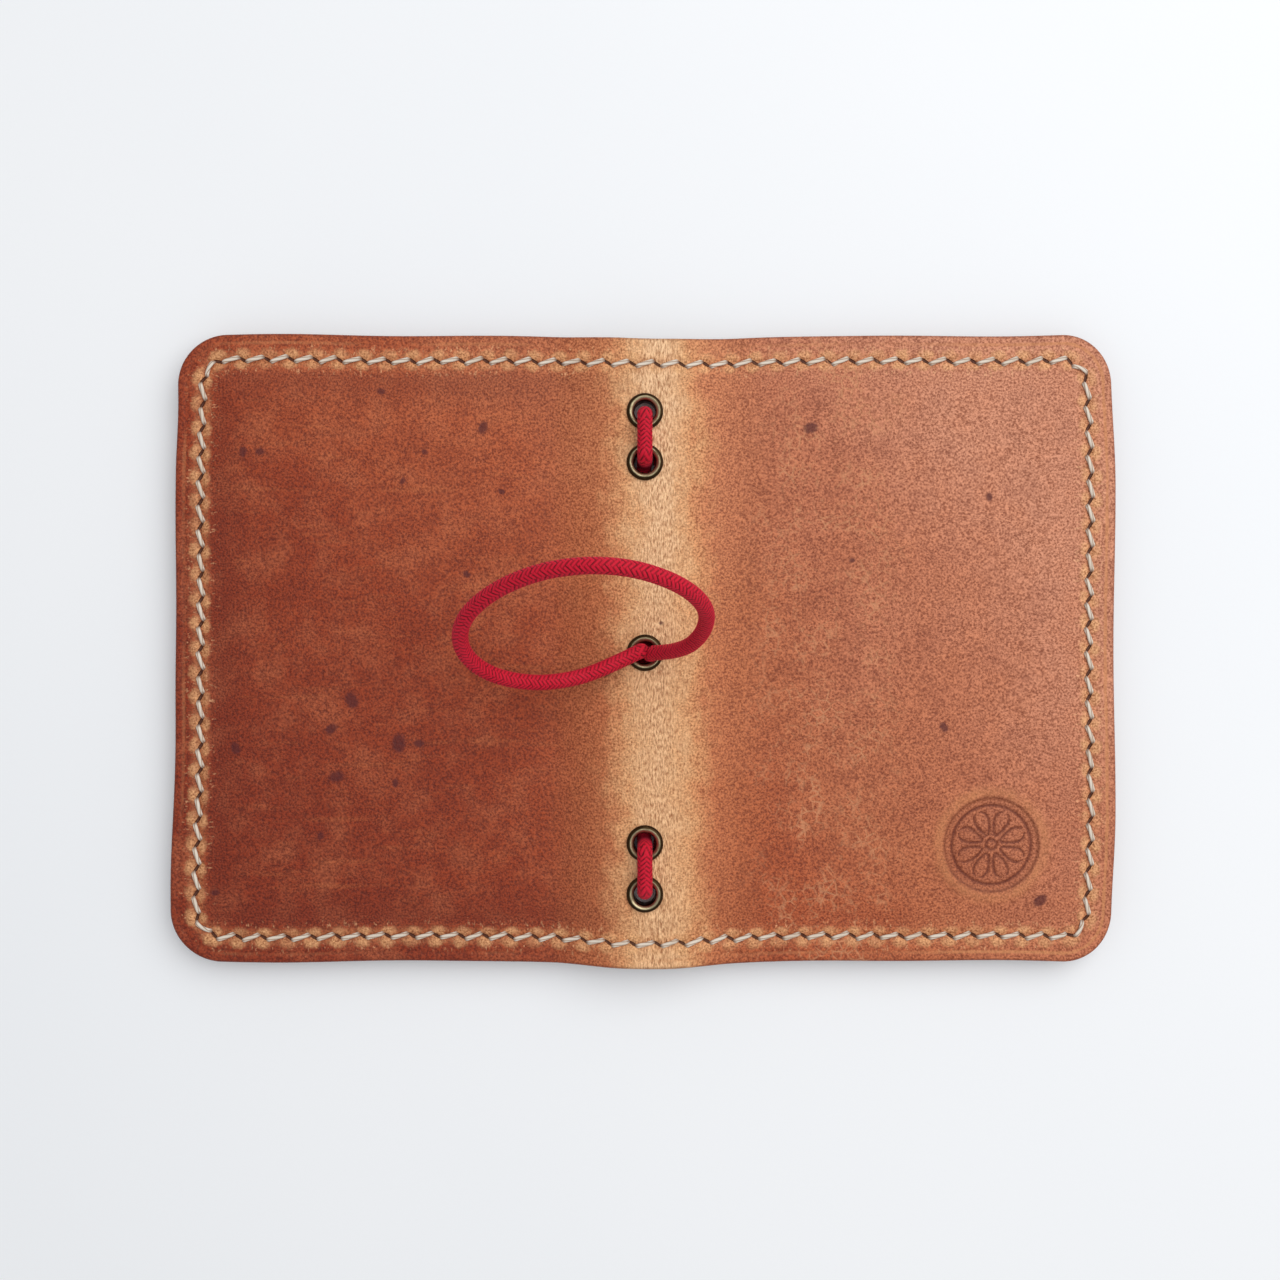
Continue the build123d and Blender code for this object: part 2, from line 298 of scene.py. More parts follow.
class Shader:
    """A material with one Principled BSDF, whose fixed sockets are set on the shader itself."""

    def __init__(self, name, **fixed):
        self.material = bpy.data.materials.new(name)
        self.material.use_nodes = True
        self.tree = self.material.node_tree
        self.surface = self.tree.nodes["Principled BSDF"]
        for socket, value in fixed.items():
            self.surface.inputs[socket.replace("_", " ")].default_value = value

    def node(self, kind, settings=None, inputs=None, output=0):
        made = self.tree.nodes.new(kind)
        for key, value in (settings or {}).items():
            if key == "stops":
                ramp = made.color_ramp.elements
                while len(ramp) < len(value):
                    ramp.new(0.5)
                for stop, (place, colour) in zip(ramp, value):
                    stop.position = place
                    stop.color = (*colour, 1)
            else:
                setattr(made, key, value)
        for key, value in (inputs or {}).items():
            socket = made.inputs[key]
            if isinstance(value, Value):
                self.tree.links.new(value.socket, socket)
            elif socket.type == "RGBA" and len(value) == 3:
                socket.default_value = (*value, 1)
            else:
                socket.default_value = value
        return Value(self, made.outputs[output])

    def attribute(self, name, axis=None):
        whole = self.node("ShaderNodeAttribute", {"attribute_name": name}, output="Vector")
        if axis is None:
            return whole
        return self.node("ShaderNodeSeparateXYZ", inputs={0: whole}, output=axis)

    def noise(self, place, scale, detail=3.0, roughness=0.5, stretch=None):
        if stretch is not None:
            place = self.node("ShaderNodeMapping", inputs={"Vector": place, "Scale": stretch})
        return self.node(
            "ShaderNodeTexNoise", {"noise_dimensions": "3D"},
            {"Vector": place, "Scale": scale, "Detail": detail, "Roughness": roughness},
        )

    def mix(self, share, low, high, blend_type="MIX"):
        return self.node(
            "ShaderNodeMix", {"data_type": "RGBA", "blend_type": blend_type},
            {"Factor": share, 6: low, 7: high}, output=2,
        )

    def bump(self, height, distance, strength):
        inputs = {"Height": height, "Distance": distance, "Strength": strength}
        return self.node("ShaderNodeBump", inputs=inputs)

    def feed(self, **sockets):
        for socket, value in sockets.items():
            self.tree.links.new(value.socket, self.surface.inputs[socket.replace("_", " ")])


def srgb(red, green, blue):
    """A colour given on the usual 0 to 255 scale, as the linear values that a shader takes."""
    shares = (channel / 255 for channel in (red, green, blue))
    return tuple(s / 12.92 if s <= 0.04045 else ((s + 0.055) / 1.055) ** 2.4 for s in shares)


def put_on(piece, shader):
    piece.data.materials.clear()
    piece.data.materials.append(shader.material)


def red_braid(name):
    """Red textile cover over rubber: bright along the yarns' crowns, with painted shade in deep red between
    them.
    """
    shader = Shader(
        name, Roughness=0.7, Specular_IOR_Level=0.22, Sheen_Weight=0.12, Sheen_Roughness=0.5,
        Sheen_Tint=(1.0, 0.2, 0.3, 1),
    )
    place = shader.node("ShaderNodeTexCoord", output="Object")
    crown = shader.attribute("yarn", "X")
    fibres = shader.noise(place, 5200.0, detail=2.0)
    wear = shader.noise(place, 160.0, detail=3.0)
    # painted shade: deep red in the gaps between the yarns, bright on their crowns
    colour = shader.mix(crown.rise(0.35, 1.0), srgb(84, 0, 12), srgb(210, 18, 48))
    colour = shader.mix(wear.rise(0.45, 0.75) * 0.25, colour, srgb(216, 42, 66))
    colour = shader.mix(fibres.fade(0.3, 0.5) * 0.3, colour, srgb(120, 2, 20))
    shader.feed(Base_Color=colour, Normal=shader.bump(fibres, 0.00003, 0.5))
    return shader


elastic_red = red_braid("red_braided_elastic")
put_on(closing_loop, elastic_red)

# ---------------------------------------------------------------------------------------------
# Loop neck and knot: the loop's two strands go side by side down the middle eyelet and end in a
# stopper knot under the spine.
neck_squeeze = 0.68  # the strands' share of their free width inside the eyelet
neck_narrow, neck_flare = 3.4, 1.7  # how far up they stay squeezed, and then take to swell out
middle_y = joints["loop_swing"]["pos_m"][1] / MM
swing_z = loop_exit_height / MM
left_strand = [
    (-0.62, middle_y + 0.45, 3.4),
    (-0.62, middle_y + 0.45, 6.0),
    (-0.55, middle_y + 0.4, 8.0),
    (-0.6, middle_y + 0.3, 8.75),
    (-1.3, middle_y, swing_z),
]
right_strand = [
    (0.62, middle_y - 0.5, 3.4),
    (0.62, middle_y - 0.5, 6.0),
    (0.6, middle_y - 0.45, 7.4),
    (0.85, middle_y - 0.25, 8.3),
    (1.3, middle_y, swing_z),
]


def squeezed(run, angle):
    swell = np.clip((run - neck_narrow * MM) / (neck_flare * MM), 0, 1)
    swell = neck_squeeze + (1 - neck_squeeze) * swell * swell * (3 - 2 * swell)
    return braid(run, angle) * swell


neck_lines = [smooth_line("neck_line", strand) for strand in (left_strand, right_strand)]
loop_neck = braided("loop_neck_strands", neck_lines, 0.16 * MM, radius_at=squeezed)
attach(loop_neck, "spine")
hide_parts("loop_neck")
put_on(loop_neck, elastic_red)

knot_low, knot_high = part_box("loop_knot")
knot_middle = np.array((knot_low + knot_high) / 2)
knot_reach = (knot_high.x - knot_low.x) / 2 - elastic_diameter / 2
knot_height = (knot_high.z - knot_low.z) / 2 - elastic_diameter / 2
lobe_share = 0.92  # how much of the knot's reach its three lobes take up
turns = np.linspace(0, 2 * math.pi, 160)
trefoil = np.stack(
    [
        (np.sin(turns) + 2 * np.sin(2 * turns)) / 3 * knot_reach * lobe_share,
        (np.cos(turns) - 2 * np.cos(2 * turns)) / 3 * knot_reach * lobe_share,
        -np.sin(3 * turns) * knot_height,
    ],
    axis=1,
)
knot = braided("loop_stopper_knot", [trefoil + knot_middle], 0.2 * MM, around=32)
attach(knot, "spine")
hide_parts("loop_knot")
put_on(knot, elastic_red)

# ---------------------------------------------------------------------------------------------
# Retaining elastic: the same elastic laced through the two outer pairs of eyelets, with a long
# strand down each side of the spine inside, and its ends joined in a crimped sleeve.
inner_top, outer_top = 29.4, 37.4
inner_bottom, outer_bottom = -30.8, -38.8
outside_z, inside_z = 8.92, 2.88
hug = 0.35  # the elastic is pulled against the near sides of each pair's rims
over_rim, rim_rise = 2.6, 0.05  # where it has cleared a rim, and how far it stands up there


def outer_stretch(start, end):
    """Out of one eyelet, over the leather and back in at the next."""
    return [
        (0.0, start + hug, inside_z),
        (0.0, start + hug, outside_z),
        (0.0, start + over_rim, outside_z + rim_rise),
        (0.0, end - over_rim, outside_z + rim_rise),
        (0.0, end - hug, outside_z),
        (0.0, end - hug, inside_z),
    ]


retaining_route = [
    (-2.15, 15.3, inside_z),
    (-1.1, 22.5, inside_z),
    *outer_stretch(inner_top, outer_top),
    (2.1, 33.6, inside_z),
    (2.75, inner_top, inside_z),
    (3.5, 17.0, inside_z),
    (4.35, 4.5, inside_z),
    (4.35, -5.9, inside_z),
    (3.5, -18.4, inside_z),
    (2.75, inner_bottom, inside_z),
    (2.1, -35.0, inside_z),
    *outer_stretch(outer_bottom, inner_bottom),
    (-1.6, -20.0, inside_z),
    (-4.2, -6.5, inside_z),
    (-4.4, 3.2, inside_z),
    (-2.15, 15.3, inside_z),
]
retaining_line = smooth_line("retaining_line", retaining_route)
retaining_elastic = braided("retaining_elastic_braid", [retaining_line], 0.15 * MM)
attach(retaining_elastic, "spine")
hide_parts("retaining_elastic")
put_on(retaining_elastic, elastic_red)

# ---------------------------------------------------------------------------------------------
# Outer leather: waxed pull-up hide, 1.5 mm thick, one sheet over both covers and the spine. It is
# made as two halves that meet on the middle of the spine.
half_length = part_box("front_cover_leather")[1].x / MM
half_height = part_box("front_cover_leather")[1].y / MM
covers_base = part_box("front_wide_pocket")[1].z / MM  # under the lining
spine_base, spine_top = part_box("spine_lining")[0].z / MM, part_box("spine_leather")[1].z / MM
lining_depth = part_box("spine_lining")[1].z / MM - spine_base
shell_depth = spine_top - spine_base
corner_radius = 8.0
arch_from, arch_to = 3.3, 15.0  # where the spine's flat ends, and where the covers' flats begin
seam_margin = 4.1
seam_corner = 4.0
stitches_per_side = 59  # from the middle of the spine's top round to the middle of its bottom
seam_x, seam_y = half_length - seam_margin, half_height - seam_margin
seam_bend = math.pi / 2 * seam_corner
seam_side_run = 2 * (seam_y - seam_corner)
seam_end_run = seam_x - seam_corner
seam_run = 2 * seam_end_run + 2 * seam_bend + seam_side_run
stitch_pitch = seam_run / stitches_per_side
eyelet_rows = [
    (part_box(node)[0].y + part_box(node)[1].y) / 2 / MM
    for node in frame["nodes"] if node.startswith("eyelet_") and "washer" not in node
]
hole_radius = 2.5  # punched for the eyelets, and covered by their flanges
slit_lean = (math.cos(math.radians(32)), math.sin(math.radians(32)))
mark_place, mark_size = (55.2, -31.4), 7.5


def smooth_step(low, high, value):
    share = np.clip((value - low) / (high - low), 0, 1)
    return share * share * (3 - 2 * share)


def arch(x):
    """Height of the lining's underside: up over the spine and down to the covers."""
    return covers_base + (spine_base - covers_base) * (1 - smooth_step(arch_from, arch_to, np.abs(x)))


def as_it_lies(x, y):
    """The sheet's own small unevenness in plan, which everything sewn to it follows."""
    left = np.clip(-x / half_length, 0, 1)
    right = np.clip(x / half_length, 0, 1)
    ends_left = 0.35 * smooth_step(28.0, 40.0, y) - 0.8 * smooth_step(10.0, 40.0, -y)
    sideways = (0.06 + ends_left + 0.06 * np.sin(y / 4.6)) * left**3
    ends_right = 0.34 * np.sin(math.pi * y / half_height) ** 2 - 0.45 * smooth_step(26.0, 44.0, np.abs(y))
    sideways += (ends_right - 0.12) * right**3
    upper = y / half_height
    sag = -(0.95 + 0.2 * upper) * np.exp(-(((x - 1.25 - 3.75 * upper) / 13.5) ** 2))
    ends = (y / half_height) * (0.14 * np.sin(x / 11 + 0.6) + 0.1 * np.sin(x / 5.3))
    return x + sideways, y + sag + ends


def along_seam(x, y):
    """Run from the middle of the spine's top along the stitch line, and distance outside it."""
    x = np.abs(x)
    past_x, past_y = x - (seam_x - seam_corner), np.abs(y) - (seam_y - seam_corner)
    in_corner = (past_x > 0) & (past_y > 0)
    turn = np.arctan2(np.maximum(past_x, 1e-9), np.maximum(past_y, 1e-9))
    from_corner = np.hypot(past_x, past_y) - seam_corner
    on_end = (x - seam_x) < (np.abs(y) - seam_y)
    run = np.where(on_end, np.clip(x, 0, seam_end_run), seam_end_run + seam_bend + seam_side_run / 2)
    run = np.where(~on_end, seam_end_run + seam_bend + (seam_y - seam_corner) - np.abs(y), run)
    run = np.where(in_corner, seam_end_run + seam_corner * turn, run)
    off = np.where(on_end, np.abs(y) - seam_y, x - seam_x)
    off = np.where(in_corner, from_corner, off)
    return np.where(y < 0, seam_run - run, run), off


def from_edge(x, y):
    """Distance in from the outline."""
    past_x = np.abs(x) - (half_length - corner_radius)
    past_y = np.abs(y) - (half_height - corner_radius)
    rounded = corner_radius - np.hypot(np.maximum(past_x, 0), np.maximum(past_y, 0))
    straight = np.minimum(half_length - np.abs(x), half_height - np.abs(y))
    return np.where((past_x > 0) & (past_y > 0), rounded, straight)


def round_hole(side, run, off):
    """Distances along and across the nearest slanting awl slit, and along the seam from its middle."""
    stitches = run / stitch_pitch
    along = side * (stitches - np.floor(stitches) - 0.5) * stitch_pitch
    return along * slit_lean[0] - off * slit_lean[1], along * slit_lean[1] + off * slit_lean[0], along


def hide_relief(x, y):
    """How far the outer face stands above its plain arch."""
    side = np.where(x < 0, -1, 1)
    run, off = along_seam(x, y)
    slit_along, slit_across, along = round_hole(side, run, off)
    edge = from_edge(x, y)
    puff = 0.28 * smooth_step(0.4, 7.0, -off) - 0.28
    groove = -0.16 * np.exp(-((off / 0.6) ** 2))
    pull = -0.24 * np.exp(-((slit_along / 0.75) ** 2) - (slit_across / 0.3) ** 2)
    uneven = 1 + 0.35 * np.sin(run * 1.37 + side) * np.sin(run * 0.61)
    bulge = np.exp(-(((along - 0.15) / 0.85) ** 2) - ((off - 1.05) / 0.55) ** 2)
    bulge += 0.75 * np.exp(-(((along + 0.25) / 0.8) ** 2) - ((off + 1.0) / 0.45) ** 2)
    crease = -0.06 * np.exp(-(((edge - 1.5) / 0.28) ** 2))
    waves = 0.05 * np.sin(x / 7.1 + 1.7 * np.sin(y / 13)) * np.sin(y / 9.3 + 0.6)
    waves += 0.035 * np.sin(x / 3.7 + y / 5.1 + 2.0) * np.sin(y / 4.2 - x / 11)
    inside = smooth_step(1.0, 5.0, -off)
    creases = 0.02 * np.sin(x * 2.9 + 1.2 * np.sin(y / 3.1) + 0.7 * np.sin(y / 1.3))
    creases *= np.exp(-((x / 9.0) ** 2))
    height = puff + groove + pull + 0.15 * uneven * bulge + crease + inside * waves + creases
    lying_x, lying_y = as_it_lies(x, y)
    for row in eyelet_rows:
        away = np.hypot(lying_x, lying_y - row)
        press = np.exp(-(((away - 3.1) / 0.5) ** 2)) * -0.1
        flat = 1 - smooth_step(3.0, 4.2, away)
        height = height * (1 - flat) + press + flat * -0.02
    return height + mark_relief(x, y)


def mark_relief(x, y):
    """A plain blind-stamped disc: a ring round eight leaf-shaped cells, with a raised surround."""
    across, up = x - mark_place[0], y - mark_place[1]
    away, turn = np.hypot(across, up), np.arctan2(up, across)
    bed = -0.2 * (1 - smooth_step(mark_size - 0.3, mark_size + 0.2, away))
    swell = 0.1 * np.exp(-(((away - mark_size - 1.1) / 0.9) ** 2))
    ring = np.exp(-(((away - 0.84 * mark_size) / 0.24) ** 2))
    sector = (turn / (math.pi / 4)) % 1 - 0.5
    reach = (away - 0.47 * mark_size) / (0.27 * mark_size)
    leaf = np.abs(np.abs(sector) - 0.36 * np.sqrt(np.clip(1 - reach**2, 0, 1))) * away * math.pi / 4
    spokes = np.exp(-((leaf / 0.21) ** 2)) * (np.abs(reach) < 1)
    hub = np.exp(-(((away - 0.11 * mark_size) / 0.21) ** 2))
    return bed + swell - 0.2 * np.clip(ring + spokes + hub, 0, 1)


def ticks(*stops):
    """Grid lines from a list of place, step, place, step, ..., place."""
    lines = [np.array([stops[0]])]
    for start, step, end in zip(stops[:-2:2], stops[1:-1:2], stops[2::2]):
        count = max(1, round((end - start) / step))
        lines.append(np.linspace(start, end, count + 1)[1:])
    return np.concatenate(lines)


def flat_sheet(name, side, across, up, near_face, far_face, upward=1, edge_round=0.5, notch=None):
    """A closed thick sheet over one half of the holder.

    across and up are the grid lines in X and Y, near_face(x, y) and far_face(x, y) the heights of
    its finely and plainly made faces, and upward says which way the fine face looks.
    """
    reach, rise = half_length - edge_round, half_height - edge_round
    bend = corner_radius - edge_round
    x, y = np.meshgrid(across, up, indexing="ij")
    if notch is not None:
        depth = notch(y)
        x = x + depth * (reach - x) / (reach - across[0])
    u, v = (x - (reach - bend)) / bend, (np.abs(y) - (rise - bend)) / bend
    corner = (u > 0) & (v > 0)
    u, v = np.clip(u, 0, 1), np.clip(v, 0, 1)
    x = np.where(corner, reach - bend + bend * u * np.sqrt(1 - v * v / 2), x)
    bent_y = rise - bend + bend * v * np.sqrt(1 - u * u / 2)
    y = np.where(corner, np.sign(y) * bent_y, y)
    columns, rows = x.shape
    x, y = x.ravel(), y.ravel()
    z = near_face(side * x, y)

    def spot(column, row):
        return column * rows + row

    pierced = np.zeros(len(x), bool)
    lying_x, lying_y = as_it_lies(side * x, y)
    for row in eyelet_rows:
        pierced |= np.hypot(lying_x, lying_y - row) < hole_radius
    pierced = pierced.reshape(columns, rows)
    open_cell = pierced[:-1, :-1] & pierced[1:, :-1] & pierced[:-1, 1:] & pierced[1:, 1:]
    faces = [
        (spot(i, j), spot(i + 1, j), spot(i + 1, j + 1), spot(i, j + 1))
        for i in range(columns - 1) for j in range(rows - 1) if not open_cell[i, j]
    ]
    rim = [spot(i, rows - 1) for i in range(columns)]
    rim += [spot(columns - 1, j) for j in range(rows - 2, -1, -1)]
    rim += [spot(i, 0) for i in range(columns - 2, -1, -1)]
    rim_x, rim_y, rim_z = x[rim], y[rim], z[rim]
    out_x = np.maximum(rim_x - (reach - bend), 0)
    out_y = np.sign(rim_y) * np.maximum(np.abs(rim_y) - (rise - bend), 0)
    on_end = np.arange(len(rim))
    flat_top = (on_end < columns) & (out_x == 0)
    flat_bottom = (on_end >= len(rim) - columns) & (out_x == 0)
    out_y = np.where(flat_top, 1.0, np.where(flat_bottom, -1.0, out_y))
    size = np.maximum(np.hypot(out_x, out_y), 1e-9)
    out_x, out_y = out_x / size, out_y / size
    depth = np.abs(rim_z - far_face(side * rim_x, rim_y))
    rings = [(math.sin(a), 1 - math.cos(a), 0.0) for a in np.radians((18, 36, 54, 72, 90))]
    rings += [(1.0, 1.0, 0.5), (1.0, 1.0, 1.0)]
    last = np.array(rim)
    for out, down, share in rings:
        ring_x, ring_y = rim_x + out_x * out * edge_round, rim_y + out_y * out * edge_round
        drop = down * edge_round + share * (depth - edge_round)
        new = len(x) + np.arange(len(rim))
        x, y = np.concatenate([x, ring_x]), np.concatenate([y, ring_y])
        z = np.concatenate([z, rim_z - upward * drop])
        faces += [(last[k], last[k + 1], new[k + 1], new[k]) for k in range(len(rim) - 1)]
        if share == 0.0:
            fine_faces_end = len(faces)
        last = new
    # the plain face: strips, but for the part with the eyelets' holes, and the whole of a panel with
    # a notch, which repeat the fine grid
    far, width = last, len(rim)
    near_spine = int(np.argmax(across > hole_radius + 0.3)) if open_cell.any() else 0
    if notch is not None:
        near_spine = columns - 1
    below = len(x)
    ring_starts = [below - width * (len(rings) - k) for k in range(len(rings))]
    ring_ends = [start + width - 1 for start in ring_starts]
    for i in range(near_spine, columns - 1):
        strip = (far[i], far[i + 1], far[width - 2 - i], far[width - 1 - i])
        if near_spine and i == near_spine:
            strip += tuple(below + spot(i, j) for j in range(rows))
        faces.append(strip)
    if notch is None:
        faces.append(tuple(far[columns - 1 : width - columns + 1]))
    else:
        for j in range(rows - 1):
            k, inside = columns - 1 + j, below + spot(columns - 1, rows - 1 - j)
            faces.append((far[k], far[k + 1], inside - 1, inside))
    if near_spine:
        faces.append((spot(0, rows - 1), *ring_starts, below + spot(0, rows - 1)))
        faces.append((ring_ends[0], spot(0, 0), below + spot(0, 0), *ring_ends[:0:-1]))
        grid = np.arange((near_spine + 1) * rows)
        x, y = np.concatenate([x, x[grid]]), np.concatenate([y, y[grid]])
        z = np.concatenate([z, far_face(side * x[grid], y[grid])])
        for i in range(near_spine):
            faces.append((far[i], far[i + 1], below + spot(i + 1, rows - 1), below + spot(i, rows - 1)))
            faces.append((far[width - 2 - i], far[width - 1 - i], below + spot(i, 0), below + spot(i + 1, 0)))
            for j in range(rows - 1):
                corners = (spot(i, j), spot(i, j + 1), spot(i + 1, j + 1), spot(i + 1, j))
                if open_cell[i, j]:
                    beyond = (
                        i > 0 and not open_cell[i - 1, j], not open_cell[i, j + 1],
                        not open_cell[i + 1, j], not open_cell[i, j - 1],
                    )
                    for a, b, closed in zip(corners, corners[1:] + corners[:1], beyond):
                        if closed:
                            faces.append((a, b, below + b, below + a))
                else:
                    faces.append(tuple(below + corner for corner in corners))
                    if i == 0:
                        faces.append((spot(0, j), spot(0, j + 1), below + spot(0, j + 1), below + spot(0, j)))
    else:
        wall = [spot(0, j) for j in range(rows)] + ring_starts + ring_ends[::-1]
        faces.append(tuple(wall))

    run, off = along_seam(x, y)
    signed_x = side * x
    if side * upward < 0:
        faces = [face[::-1] for face in faces]
    lying_x, lying_y = as_it_lies(signed_x, y)
    piece = new_piece(name, np.stack([lying_x, lying_y, z], axis=1) * MM, faces)
    smooth = np.zeros(len(faces), bool)
    smooth[:fine_faces_end] = True
    piece.data.polygons.foreach_set("use_smooth", smooth)
    for edge_line in piece.data.edges:
        edge_line.use_edge_sharp = bool(abs(x[edge_line.vertices[0]]) + abs(x[edge_line.vertices[1]]) < 1e-6)
    remember(piece, "place", np.stack([signed_x, y, z], axis=1))
    remember(piece, "seam", np.stack([side * run / stitch_pitch, off, from_edge(x, y)], axis=1))
    return piece


def bends_at_fold(piece):
    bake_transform(piece)


def hide_top(x, y):
    return arch(x) + shell_depth + hide_relief(x, y)


def hide_bottom(x, y):
    return arch(x) + lining_depth + 0.02


fine_across = ticks(0.0, 0.33, half_length - corner_radius, 0.25, half_length - 0.5)
coarse_side = half_height - corner_radius
fine_up = ticks(0.5 - half_height, 0.25, -coarse_side, 0.33, coarse_side, 0.25, half_height - 0.5)
mark_across = ticks(
    0.0, 0.36, mark_place[0] - 8, 0.2, mark_place[0] + 8, 0.36, half_length - corner_radius, 0.25,
    half_length - 0.5,
)
mark_up = ticks(
    0.5 - half_height, 0.25, -coarse_side, 0.36, mark_place[1] - 8, 0.2, mark_place[1] + 8, 0.36,
    coarse_side, 0.25, half_height - 0.5,
)
scars = [  # healed nicks in the hide: place and radius
    (-64.1, 31.2, 0.5), (-61.4, 31.2, 0.45), (-42.1, 41.0, 0.4), (-25.8, 35.2, 0.6), (-35.1, 31.3, 0.35),
    (-38.6, 26.7, 0.35), (-22.8, 25.0, 0.35), (-28.4, 11.8, 0.4), (-65.2, -15.9, 0.6), (-49.1, -20.4, 0.7),
    (-51.5, -29.8, 0.4), (-67.9, -38.9, 0.4), (-46.7, -8.3, 0.8), (-50.0, -12.8, 0.6), (-39.2, -15.2, 0.9),
    (-36.0, -15.2, 0.5), (-39.7, -21.5, 0.4), (-6.0, -3.2, 0.4), (2.6, 4.9, 0.25), (47.6, -12.6, 0.5),
    (63.2, -40.2, 0.7), (54.8, 24.2, 0.4), (26.4, 35.2, 0.7), (33.0, 14.0, 0.3),
]
scar_spread = 1.45  # how far a nick's colour runs out, in its radii


def scar_share(x, y):
    """How much a spot of the outer face lies in a healed nick."""
    share = np.zeros_like(x)
    for place_x, place_y, radius in scars:
        wobble = 1 + 0.2 * np.sin(2 * np.arctan2(y - place_y, x - place_x) + place_x)
        away = np.hypot(x - place_x, y - place_y) / (scar_spread * radius * wobble)
        share = np.maximum(share, np.exp(-(away**2)))
    return share


def stamp_share(x, y):
    """How much a spot of the outer face lies in one of the stamp's pressed lines."""
    across, up = x - mark_place[0], y - mark_place[1]
    away = np.hypot(across, up)
    wall = np.exp(-(((away - mark_size) / 0.22) ** 2))
    inside = 1 - smooth_step(mark_size - 0.3, mark_size + 0.2, away)
    swell = 0.1 * np.exp(-(((away - mark_size - 1.1) / 0.9) ** 2))
    return np.clip((swell - 0.2 * inside - mark_relief(x, y)) / 0.2 + 0.7 * wall + 0.12 * inside, 0, 1)


def pull_up_hide(name):
    """Waxed hide: dark where the wax lies, pale where bending and stitching have pulled it apart, with
    painted shade and a painted sheen laid into its colour.
    """
    shader = Shader(name, Specular_IOR_Level=0.3)
    place, seam = shader.attribute("place"), shader.attribute("seam")
    x, y = shader.attribute("place", "X"), shader.attribute("place", "Y")
    stitches, off = shader.attribute("seam", "X"), shader.attribute("seam", "Y")
    edge = shader.attribute("seam", "Z")
    scar, stamp = shader.attribute("marks", "X"), shader.attribute("marks", "Y")
    halo_of_stamp = shader.attribute("marks", "Z")

    cloud = shader.noise(place, 0.045, detail=4.0)
    patches = shader.noise(place, 0.17, detail=5.0, roughness=0.6)
    grain = shader.noise(place, 3.1, detail=2.0, roughness=0.55)
    strokes = shader.noise(place, 1.7, detail=3.0, roughness=0.6, stretch=(2.3, 0.7, 1.0))
    streaks = shader.noise(place, 0.22, detail=5.0, roughness=0.62, stretch=(0.3, 2.6, 1.0))
    ragged = shader.noise(place, 0.45, detail=5.0, roughness=0.65, stretch=(1.5, 0.5, 1.0))
    pulled = shader.noise(seam, 1.0, detail=4.0, roughness=0.6, stretch=(7.0, 0.75, 0.0))

    # darker on the back cover, lighter on the front: partly the wax, partly painted shade on the half away
    # from the light; lighter towards the top and the upper left, a painted sheen
    upper_left_sheen = y.rise(15.0, 45.0) * x.fade(-35.0, 5.0)
    across = x / 75.0 + (cloud - 0.5) * 0.5 + (y / 50.0) * 0.42 + upper_left_sheen * 0.16
    colour = shader.node(
        "ShaderNodeValToRGB",
        {"stops": [
            (0.0, srgb(128, 43, 16)), (0.28, srgb(143, 54, 22)), (0.5, srgb(164, 76, 40)),
            (0.64, srgb(173, 93, 57)), (0.8, srgb(180, 103, 70)), (1.0, srgb(196, 126, 94)),
        ]},
        {"Fac": across * 0.5 + 0.5},
    )
    colour = shader.mix(patches.rise(0.4, 0.72) * 0.25, colour, srgb(192, 110, 70))
    colour = shader.mix(patches.fade(0.25, 0.5) * 0.25, colour, srgb(116, 38, 17))

    # the spine, stretched pale by bending
    spine_edge = (ragged - 0.5) * 5.0 + (patches - 0.5) * 9.0 + (grain - 0.5) * 3.0
    from_spine = abs(x - 2.0) + spine_edge
    colour = shader.mix(from_spine.fade(5.0, 20.0) * 0.48, colour, srgb(204, 128, 80))
    band = from_spine.fade(2.6, 10.0)
    colour = shader.mix(band * 0.82, colour, srgb(229, 167, 112))
    core = from_spine.fade(0.0, 6.5)
    colour = shader.mix(core * (y.rise(-10.0, 40.0) * 0.3 + 0.42), colour, srgb(243, 194, 148))

    # streaks where the covers have been rubbed
    wear_and_highlight = streaks.rise(0.54, 0.7) * abs(off).rise(2.0, 8.0) * x.fade(-8.0, 20.0)
    colour = shader.mix(wear_and_highlight * 0.16, colour, srgb(190, 108, 62))

    # round each awl slit: hide pushed up pale on both sides, more on the outer one
    along = shader.node("ShaderNodeMath", {"operation": "FRACT"}, {0: stitches}) - 0.5
    along = along * stitch_pitch
    outer = (along - 0.1) * (along - 0.1) * 0.62 + (off - 0.9) * (off - 0.9) * 1.1
    inner = (along + 0.3) * (along + 0.3) * 0.7 + (off + 0.8) * (off + 0.8) * 1.7
    torn = (pulled - 0.5) * 3.2 + (grain - 0.5) * 2.2
    each = shader.noise(seam, 1.0, detail=1.0, stretch=(0.8, 0.12, 0.0))
    lobes = (outer.least(inner) + torn).fade(0.0, 1.6) * (each.rise(0.25, 0.6) * 0.7 + 0.3)
    near_seam = (abs(off) + torn * 0.7).fade(0.35, 1.9)
    inside_seam = (abs(off) * off.fade(-0.1, 0.1)).rise(1.2, 2.6) * (0 - off).fade(3.0, 9.0)
    # painted shade: a darker band just inside the stitch line on the back cover, the half away from the light
    shade_inside_seam = inside_seam * x.fade(-30.0, 10.0)
    colour = shader.mix(shade_inside_seam * 0.3, colour, srgb(108, 34, 16))
    colour = shader.mix(near_seam * 0.36, colour, srgb(204, 130, 82))
    colour = shader.mix(lobes * 0.62, colour, srgb(226, 166, 112))
    rays = abs(off).fade(1.4, 3.6) * abs(off).rise(0.3, 1.1) * pulled.rise(0.57, 0.66)
    colour = shader.mix(rays * 0.45, colour, srgb(228, 172, 122))

